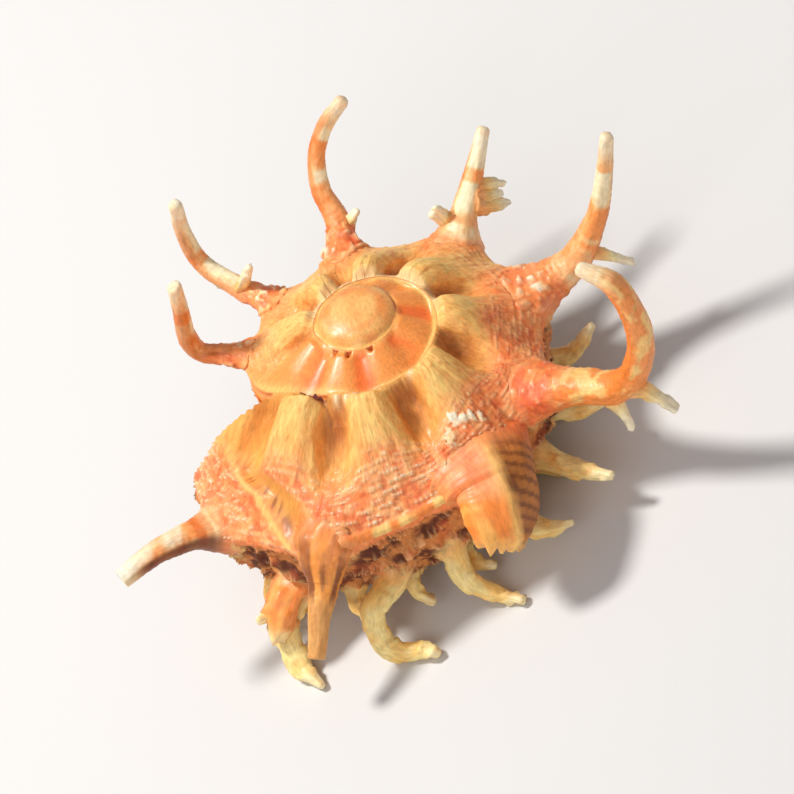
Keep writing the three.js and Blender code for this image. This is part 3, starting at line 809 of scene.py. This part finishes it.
def make_coil():
    """The ramp and the side, the ring and tint of the lip, and a coarse hull with its tint."""
    turn, span, points = ramp_grid(row_turns)
    relief, marks = ramp_relief(turn, span)
    lift, near = fillet(points, shoulder_forms, 4.2)
    reach = np.hypot(points[..., 0], points[..., 1])
    under = covered(turn, reach)
    rosy = blend_of(ROSE, CORAL, smooth(noise(61, *np.moveaxis(points, -1, 0)), 0.35, 0.65))
    tint = layered(
        ramp_tint(turn, span, marks, under),
        (dome_tint(points), 1 - smooth(reach, NUCLEUS_RADIUS - 0.9, NUCLEUS_RADIUS + 0.4)),
        (rosy, 0.6 * (1 - smooth(near, 0, 2.2)) * marks.rough * (1 - marks.tips)),
    )
    shown = (1 - smooth(span, 0.975, 1)) * (1 - smooth(under, -0.1, 0.4))
    carved = points + grid_normals(points) * (relief * shown + lift)[..., None]
    growth = np.stack([length_at(turn), span * 12.5, np.zeros_like(turn)], -1)
    dull = 0.3 + 0.7 * marks.rough * (1 - 0.5 * marks.band)
    ramp = piece_from("shell_ramp", carved, grid_faces(*turn.shape)[:, ::-1], ramp_material,
                      tint, growth, dull)

    side_turn, side_share, side_points = side_grid(row_turns)
    bumps, tips = side_relief(side_turn, side_share)
    side_lift, side_near = fillet(side_points, shoulder_forms + base_forms, 3.4)
    pale = blend_of(IVORY, ROSE, smooth(noise(62, *np.moveaxis(side_points, -1, 0)), 0.4, 0.7))
    side_colour = side_tint(side_turn, side_share, tips)
    side_colour = mix(side_colour, pale, 0.6 * (1 - smooth(side_near, 0, 1.2)))
    side_carved = side_points + grid_normals(side_points) * (bumps + side_lift)[..., None]
    side_carved[:, 0] = carved[:, -1]
    strip = seam_strip(side_carved, carved)
    side_all = np.concatenate([side_carved, strip], 1)
    side_growth = np.concatenate([side_points, strip], 1)
    side_colour = np.pad(side_colour, ((0, 0), (0, SEAM_COLUMNS - 1), (0, 0)), "edge")
    side = piece_from("shell_side", side_all, grid_faces(*side_all.shape[:2])[:, ::-1],
                      side_material, side_colour, side_growth, 1.0)
    lip = np.concatenate([carved[-1], side_all[-1, 1:]])
    lip_tint = np.concatenate([tint[-1], side_colour[-1, 1:]])
    hull = np.concatenate([points[::3, ::3], side_points[::3, ::3]], 1)
    hull_tint = np.concatenate([tint[::3, ::3], side_colour[::3, :SIDE_COLUMNS:3]], 1)
    return [ramp, side], lip, lip_tint, hull, hull_tint


def make_inside(lip, lip_tint):
    """The rounded lip and the nacre-lined hollow behind it."""
    inner = []
    for turn in np.linspace(LIP_TURN, HOLLOW_START, 120):
        row = np.array([turn])
        ramp_row, side_row = ramp_grid(row)[2], side_grid(row)[2]
        strip = seam_strip(side_row, ramp_row)
        outline = np.concatenate([ramp_row[0], side_row[0, 1:], strip[0]])
        centre = outline.mean(0)
        offset = outline - centre
        distance = np.linalg.norm(offset, axis=1, keepdims=True)
        lining = centre + offset * (1 - 1.4 * WALL / distance)
        lining[:RAMP_COLUMNS, 2] -= 0.9 * np.linspace(1, 0, RAMP_COLUMNS)
        inner.append(lining)
    ahead = inner[0] - inner[1]
    ahead = ahead / np.linalg.norm(ahead, axis=1, keepdims=True)
    rows, tints, dulls = [lip], [lip_tint], [1.0]
    for share, push in ((0.25, 0.22), (0.5, 0.3), (0.75, 0.22)):
        rows.append(lip * (1 - share) + inner[0] * share + ahead * push)
        tints.append(mix(lip_tint, linear(CREAM), share))
        dulls.append(0.6)
    place = np.linspace(0, 1, len(lip))
    for number, row in enumerate(inner):
        green = smooth(noise(71, place * 9, number / 8), 0.4, 0.8)
        rose = smooth(noise(72, place * 7, number / 6), 0.5, 0.85)
        pearl = layered(blend_of(NACRE, NACRE_GREEN, green), (NACRE_ROSE, rose))
        rows.append(row)
        tints.append(mix(linear(CREAM), pearl, min(number / 6, 1.0)))
        dulls.append(0.3)
    points = np.vstack([*rows, inner[-1].mean(0)])
    hub, count = len(points) - 1, len(lip)
    last = hub - count
    cap = [(last + i, last + i + 1, hub) for i in range(count - 1)]
    return piece_from("shell_inside", points, grid_faces(len(rows), count)[:, ::-1], inner_material,
                      np.vstack([*tints, linear(NACRE)]), points,
                      np.append(np.repeat(dulls, count), 0.3), cap)


def dome_tint(points):
    swirl = noise(81, points[..., 0] / 1.6, points[..., 1] / 1.6)
    ring = hill(np.hypot(points[..., 0], points[..., 1]), 3.1, 0.45)
    base = blend_of((250, 176, 112), (255, 204, 146), smooth(swirl, 0.2, 0.8))
    return layered(base, ((240, 140, 74), 0.4 * ring))


def make_nucleus():
    """The smooth dome over the oldest turns."""
    rings, sides = 26, 96
    around = np.linspace(0, math.tau, sides, endpoint=False)[None, :]
    share = np.linspace(0.02, 1, rings)[:, None]
    reach = NUCLEUS_RADIUS * np.sin(0.5 * math.pi * share)
    height = NUCLEUS_HEIGHT * (np.cos(0.5 * math.pi * share) - 1)
    points = np.stack([reach * np.cos(around), reach * np.sin(around), height + 0 * around], -1)
    flat = np.vstack([*points, np.zeros(3)])
    cap = [(i, (i + 1) % sides, len(flat) - 1) for i in range(sides)]
    return piece_from("shell_nucleus", flat, grid_faces(rings, sides, True)[:, ::-1], ramp_material,
                      dome_tint(flat), flat, 0.3, cap)


def above_ground(points):
    """Rings that would dip into the surface below are raised to lie on it."""
    lowest = stand(points)[..., 2].min(axis=1)
    lift = np.clip(0.03 - lowest, 0, 2.4)[:, None]
    return points + lift[..., None] * np.array([-math.sin(REST_LEAN), 0, math.cos(REST_LEAN)])


def near_hull(form, tree, hull_tints):
    """Near the root: distance to the coil, fillet height, the coil's colour, the shift that keeps
    the root inside the wall, and the fillet's size."""
    bare = form.surface()
    gaps = np.full(bare.shape[:2], FAR)
    lift = np.zeros(bare.shape[:2])
    base = np.zeros(bare.shape)
    pull = np.zeros(bare.shape)
    blend = 4.0 * form.width[0] / 7
    for ring in np.nonzero(form.long < 0.45 * form.long[-1])[0]:
        in_wall = form.turn > HOLLOW_START and form.long[ring] < ROOT_LENGTH
        for side in range(form.sides):
            place = Vector(bare[ring, side])
            spot, facing, face, gap = tree.find_nearest(place, max(blend, 5))
            if spot is None:
                continue
            outside = (place - spot).dot(facing) > 0
            gaps[ring, side] = gap if outside else -gap
            base[ring, side] = hull_tints[face]
            if outside:
                lift[ring, side] = max(1 - gap / blend, 0) ** 2 * blend / 4
            elif in_wall and gap > ROOT_DEPTH:
                pull[ring, side] = facing * (gap - ROOT_DEPTH)
    return gaps, lift, base, pull, blend


def capped(grid, shade=1.0):
    """The values of all rings, then of the two rings and two hubs that close the ends, the floor ring
    and its hub times the shade, a painted shade.
    """
    last = grid[-1]
    return np.concatenate([*grid, last, shade * last, shade * last[:1], grid[0, :1]])


def spine_piece(name, form, relief, shove, tint, dull, hull, cup=0.0):
    """A spine with a fillet at its root and a hollow tip, which a cup makes deeper."""
    gaps, lift, base, pull, blend = near_hull(form, *hull)
    points = above_ground(form.surface(relief + lift, shove) + pull)
    tint = mix(tint, base, (1 - smooth(gaps, 0, 0.5 * blend)) * (gaps < FAR - 1))
    end = points[-1]
    middle = end.mean(0)
    heading = form.along[-1]
    size = 0.5 * form.width[-1]
    # With a cup, the floor of the hollow tip is darkened to 0.6 of its colour: painted shade.
    near, far, shade = (0.05, -cup, 0.6) if cup else (0.4 * size, 0.65 * size, 1.0)
    rim = middle + (end - middle) * (0.72 if cup else 0.85) + heading * near
    floor = middle + (end - middle) * 0.42 + heading * far
    flat = np.vstack([*points, rim, floor, floor.mean(0), points[0].mean(0)])
    count = form.sides
    hub = len(flat) - 2
    last = hub - count
    caps = [(last + i, last + (i + 1) % count, hub) for i in range(count)]
    caps += [((i + 1) % count, i, hub + 1) for i in range(count)]
    around, long, _, x, y = form.coordinates()
    half = 0.5 * form.width[:, None]
    growth = np.stack([long + 40 * form.turn + 0 * around, half * x, half * y], -1)
    return piece_from(name, flat, grid_faces(len(points) + 2, count, True), spine_material,
                      capped(tint, shade), capped(growth), dull, caps)


def turned_from(around, angle):
    """Angle away from a direction, from 0 to half a turn."""
    return np.abs((around - angle + math.pi) % (math.tau) - math.pi)


UNDER_SIDE = 0.5 * math.pi
OLDER_SIDE = math.pi


def spine_relief(form, seed, rugose=1.0, ragged=0.0):
    """Cords and beads at the root, growth wrinkles, and a gutter on the side facing the growth."""
    around, long, share, x, y = form.coordinates()
    size = np.minimum(form.width[:, None] / 4, 1)
    early = rugose * (1 - smooth(share, 0.12, 0.45))
    half = form.width[:, None] / 2
    wrinkle = saw(long / 0.8 + 0.9 * noise(seed, x * 1.5 + 3, y * 1.5, long / 2.5))
    scales = noise(seed + 3, x * half / 0.5 + 30, y * half / 0.5 + 30, long / 0.42)
    gutter = hill(turned_from(around, 0), 0, 0.55) * smooth(share, 0.1, 0.3)
    relief = size * early * (0.55 * smooth(scales, 0.45, 0.8) - 0.1)
    relief += 0.07 * size * (wrinkle - 0.4) - 0.22 * size * gutter
    relief += 0.3 * size * (rough_noise(seed + 1, x * 1.6 + 9, y * 1.6, long / 1.6) - 0.5)
    torn = noise(seed + 2, x * 1.8 + 5, y * 1.8, long / 0.9)
    return relief + ragged * (smooth(torn, 0.45, 0.8) - 0.3)


def shoulder_tint(form, number, relief):
    """Rosy and rugose at the root, banded cream and orange, pale at the tip, and darker underneath
    with painted shade.
    """
    around, long, share, x, y = form.coordinates()
    patch = rough_noise(90 + number, x * 1.3 + 3, y * 1.3, long / 1.7)
    bands = smooth(noise(91 + number, long / 1.7, 0.25 * x), 0.36, 0.62)
    older = smooth(0.7 * (patch - 0.5) - x, 0.1, 0.8)
    tip = smooth(share, 0.8, 0.97)
    body = 1 - tip
    pale = layered(
        blend_of((255, 244, 214), ORANGE, np.clip(1.5 * bands * patch, 0, 0.85)),
        ((214, 122, 50), 0.7 * older * (number < 4)),
    )
    colour = layered(
        blend_of((246, 160, 106), (230, 98, 56), smooth(patch, 0.42, 0.7)),
        (WHITE, 0.95 * smooth(relief, 0.08, 0.34)),
        ((206, 74, 38), 0.7 * smooth(-relief, 0.06, 0.2)),
        (pale, smooth(share + 0.3 * (patch - 0.5), 0.2, 0.46)),
        (WHITE, 0.75 * tip),
        # Darker underneath each spine: painted shade.
        ((196, 112, 60), 0.3 * smooth(y, 0.1, 0.8) * body),
    )
    if number in (4, 5):
        dots = smooth(np.cos(math.tau * long / 0.9) + 0.8 * (patch - 0.5), 0.1, 0.7)
        edge = hill(turned_from(around, UNDER_SIDE - 0.45), 0, 0.28) * smooth(share, 0.2, 0.35)
        colour = layered(colour, ((138, 66, 28), 0.85 * edge * dots * body))
    if number == 5:
        amber = blend_of(ORANGE, (255, 214, 150), smooth(patch, 0.5, 0.66))
        inside = smooth(-y, -0.2, 0.5) * smooth(share, 0.35, 0.5) * body
        colour = layered(
            colour,
            (amber, 0.85 * body * smooth(share, 0.2, 0.3)),
            (blend_of(ORANGE, (226, 120, 56), patch), 0.8 * inside),
        )
    if number == 6:
        # The back face, towards the older side, is tan with dark stripes: the stripes are its own,
        # the darker tan is painted shade.
        face = 1 - smooth(turned_from(around, OLDER_SIDE + 0.4), 0.85, 1.05)
        stripes = smooth(np.cos(math.tau * (long + 0.7 * around)), 0.0, 0.7)
        striped_and_shaded_back = layered(blend_of(TAN, (170, 104, 40), patch), ((112, 62, 20), 0.75 * stripes))
        window = hill(turned_from(around, OLDER_SIDE + 1.25), 0, 0.16) * hill(share, 0.5, 0.05)
        colour = layered(
            blend_of(ROSE, CORAL, smooth(patch, 0.4, 0.65)),
            (CREAM, 0.3 * smooth(relief, 0.05, 0.25)),
            (blend_of(ORANGE, (250, 190, 110), smooth(patch, 0.4, 0.7)),
             smooth(share + 0.25 * (patch - 0.5), 0.42, 0.58)),
            (striped_and_shaded_back, face * smooth(share, 0.15, 0.3)),
            (CREAM, 0.7 * hill(turned_from(around, OLDER_SIDE + 1.4), 0, 0.12)),
            # The window in the hood is dark brown: painted shade.
            ((96, 48, 18), 0.9 * window),
            (CREAM, 0.5 * tip),
        )
    if number == 7:
        streaks = smooth(noise(95, around * 5, long / 6), 0.4, 0.62)
        tan = layered(
            blend_of((244, 186, 104), (232, 146, 68), patch),
            ((118, 58, 18), 0.85 * streaks),
            (blend_of((226, 186, 128), (206, 150, 92), patch), smooth(share, 0.55, 0.7)),
        )
        colour = mix(colour, tan, smooth(share, 0.12, 0.3))
    if number == 8:
        rings = smooth(noise(96, long / 1.5, 0.3 * y), 0.35, 0.55) * smooth(share, 0.3, 0.5)
        below = smooth(0.3 * y - 0.95 * x, 0.55, 0.85)
        pale_spots = smooth(noise(99, long / 2.2 + 0.3 * x, 0.4 * y), 0.5, 0.7)
        colour = layered(
            colour,
            ((214, 116, 40), 0.85 * rings * body),
            (WHITE, 0.8 * pale_spots * smooth(-y, 0.2, 0.8)),
            # Dark brown along the lower side of this spine: partly its brown, partly painted shade.
            ((100, 48, 20), 0.85 * below * (1 - 0.7 * tip)),
        )
    return colour


def base_tint(form, number):
    around, long, share, x, y = form.coordinates()
    patch = rough_noise(110 + number, x * 1.1 + 4, y * 1.1, long / 1.8)
    colour = layered(
        blend_of(IVORY, (246, 216, 146), smooth(patch, 0.4, 0.7)),
        (STAIN, 0.35 * smooth(patch, 0.62, 0.8)),
    )
    if number == FROND:
        streak = smooth(noise(97, around * 4, long / 3), 0.3, 0.7)
        colour = layered(blend_of((248, 186, 118), (240, 146, 78), streak),
                         (CREAM, 0.7 * smooth(share, 0.6, 1)))
    return layered(
        colour,
        ((224, 128, 88), 0.6 * (1 - smooth(share, 0.1, 0.32)) * smooth(patch, 0.3, 0.6)),
        ((252, 246, 226), 0.5 * smooth(share, 0.7, 1)),
    )


def make_spines(hull, hull_tint):
    quads = grid_faces(*hull.shape[:2])[:, ::-1]
    tree = BVHTree.FromPolygons([Vector(p) for p in hull.reshape(-1, 3)], quads.tolist())
    hull = (tree, hull_tint.reshape(-1, 3)[quads[:, 0]])
    shoulder, base = [], []
    for number, form in enumerate(shoulder_forms):
        relief = spine_relief(form, 200 + 5 * number, 0.5 if number in (5, 6) else 1.0)
        shove = 0.0
        if number == HOOD:
            crest = hill(turned_from(form.around[None, :], OLDER_SIDE + 1.4), 0, 0.25)
            across = smooth(form.share, 0.05, 0.25) * (1 - 0.6 * smooth(form.share, 0.8, 1))
            relief = relief + 0.5 * crest * across[:, None]
            teeth = np.abs((np.cos(form.around) * 2.6 + 0.2) % 1 - 0.5) * 2
            shove = 1.3 * (teeth[None, :] - 0.5) * smooth(form.share, 0.8, 1)[:, None]
        tint = shoulder_tint(form, number, relief)
        shoulder.append(spine_piece(f"shoulder_spine_{number + 1}", form, relief, shove, tint, 0.75,
                                    hull, 0.5 if number >= HOOD else 0.0))
    for number, form in enumerate(prong_forms):
        relief = spine_relief(form, 300 + 5 * number, 0.4, 0.3)
        share = form.coordinates()[2]
        tint = layered(base_tint(form, 40 + number),
                       ((246, 178, 130), 0.75 * (1 - smooth(share, 0.1, 0.6))),
                       (WHITE, 0.75 * smooth(share, 0.3, 0.8)))
        shoulder.append(spine_piece(f"prong_{number + 1}", form, relief, 0.0, tint, 0.7, hull))
    for number, form in enumerate(base_forms):
        relief = spine_relief(form, 400 + 5 * number, 0.3, 0.6 if number == FROND else 0.3)
        torn = noise(98, 3 * np.cos(form.around) + 5, 3 * np.sin(form.around))[None, :]
        shove = 2.4 * (torn - 0.5) * smooth(form.share, 0.6, 1)[:, None] * (number == FROND)
        base.append(spine_piece(f"base_spine_{number + 1:02d}", form, relief, shove,
                                base_tint(form, number), 0.7, hull))
    return [join("shoulder_spines", shoulder), join("base_spines", base)]


def join(name, members):
    """One object from several pieces of the same material."""
    bpy.ops.object.select_all(action="DESELECT")
    for member in members:
        member.select_set(True)
    bpy.context.view_layer.objects.active = members[0]
    bpy.ops.object.join()
    members[0].name = name
    members[0].data.name = name
    return members[0]


coil_pieces, lip_ring, lip_tint, hull_points, hull_tint = make_coil()
coil_pieces += [make_inside(lip_ring, lip_tint), make_nucleus()]
for piece in coil_pieces + make_spines(hull_points, hull_tint):
    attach(piece, "root")
    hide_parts("shell")


# Stage, light and camera, in metres.
FLOOR_REACH = 3.0
FLOOR_STEPS = 24
FLOOR_GAP = 0.00005
VIEW_HEIGHT = math.radians(44.3)
VIEW_ROLL = math.radians(23.5)
VIEW_WIDTH = 0.08734
VIEW_DISTANCE = 1.2


def make_floor():
    line = np.linspace(-FLOOR_REACH, FLOOR_REACH, FLOOR_STEPS)
    x, y = np.meshgrid(line, line, indexing="ij")
    points = np.stack([x, y, np.full_like(x, -FLOOR_GAP)], -1).reshape(-1, 3)
    mesh = bpy.data.meshes.new("floor")
    mesh.from_pydata(points.tolist(), [], grid_faces(*x.shape).tolist())
    material, shader = new_material("floor")
    set_inputs(shader, {"Base Color": (0.72, 0.71, 0.7, 1), "Roughness": 0.9})
    mesh.materials.append(material)
    add_object("floor", mesh)


def axes_of_view():
    """Right, up and towards-the-viewer directions of the camera, on the resting shell."""
    east = np.array([1.0, 0, 0])
    rise = np.array([0, math.sin(VIEW_HEIGHT), math.cos(VIEW_HEIGHT)])
    towards = np.array([0, -math.cos(VIEW_HEIGHT), math.sin(VIEW_HEIGHT)])
    right = math.cos(VIEW_ROLL) * east - math.sin(VIEW_ROLL) * rise
    up = math.sin(VIEW_ROLL) * east + math.cos(VIEW_ROLL) * rise
    return [Vector(stand(v) - stand(np.zeros(3))) for v in (right, up, towards)]


def make_camera():
    right, up, towards = axes_of_view()
    target = Vector(APEX) * MM + right * 0.00495 - up * 0.010
    data = bpy.data.cameras.new("camera")
    data.sensor_width = 36
    data.lens = data.sensor_width * VIEW_DISTANCE / VIEW_WIDTH
    data.clip_start = 0.05
    data.clip_end = 20
    camera = add_object("camera", data)
    camera.location = target + towards * VIEW_DISTANCE
    camera.rotation_mode = "QUATERNION"
    camera.rotation_quaternion = Matrix((right, up, towards)).transposed().to_quaternion()
    bpy.context.scene.camera = camera


def area_light(name, direction, distance, size, power, colour):
    data = bpy.data.lights.new(name, "AREA")
    data.shape = "DISK"
    data.size = size
    data.energy = power
    data.color = colour
    light = add_object(name, data)
    way = Vector(direction).normalized()
    light.location = way * distance + Vector((0, 0, 0.015))
    light.rotation_mode = "QUATERNION"
    light.rotation_quaternion = way.to_track_quat("Z", "Y")


make_floor()
make_camera()
area_light("key", (-0.4, 0.3, 1.0), 0.6, 0.12, 3.5, (1.0, 0.98, 0.95))
area_light("fill", (-0.4, -1.0, 0.7), 0.7, 0.5, 1.5, (1.0, 0.98, 0.96))
world = bpy.data.worlds.new("studio")
world.use_nodes = True
set_inputs(world.node_tree.nodes["Background"], {"Color": (0.95, 0.96, 1.0, 1), "Strength": 0.3})
bpy.context.scene.world = world
bpy.context.scene.view_settings.view_transform = "Standard"
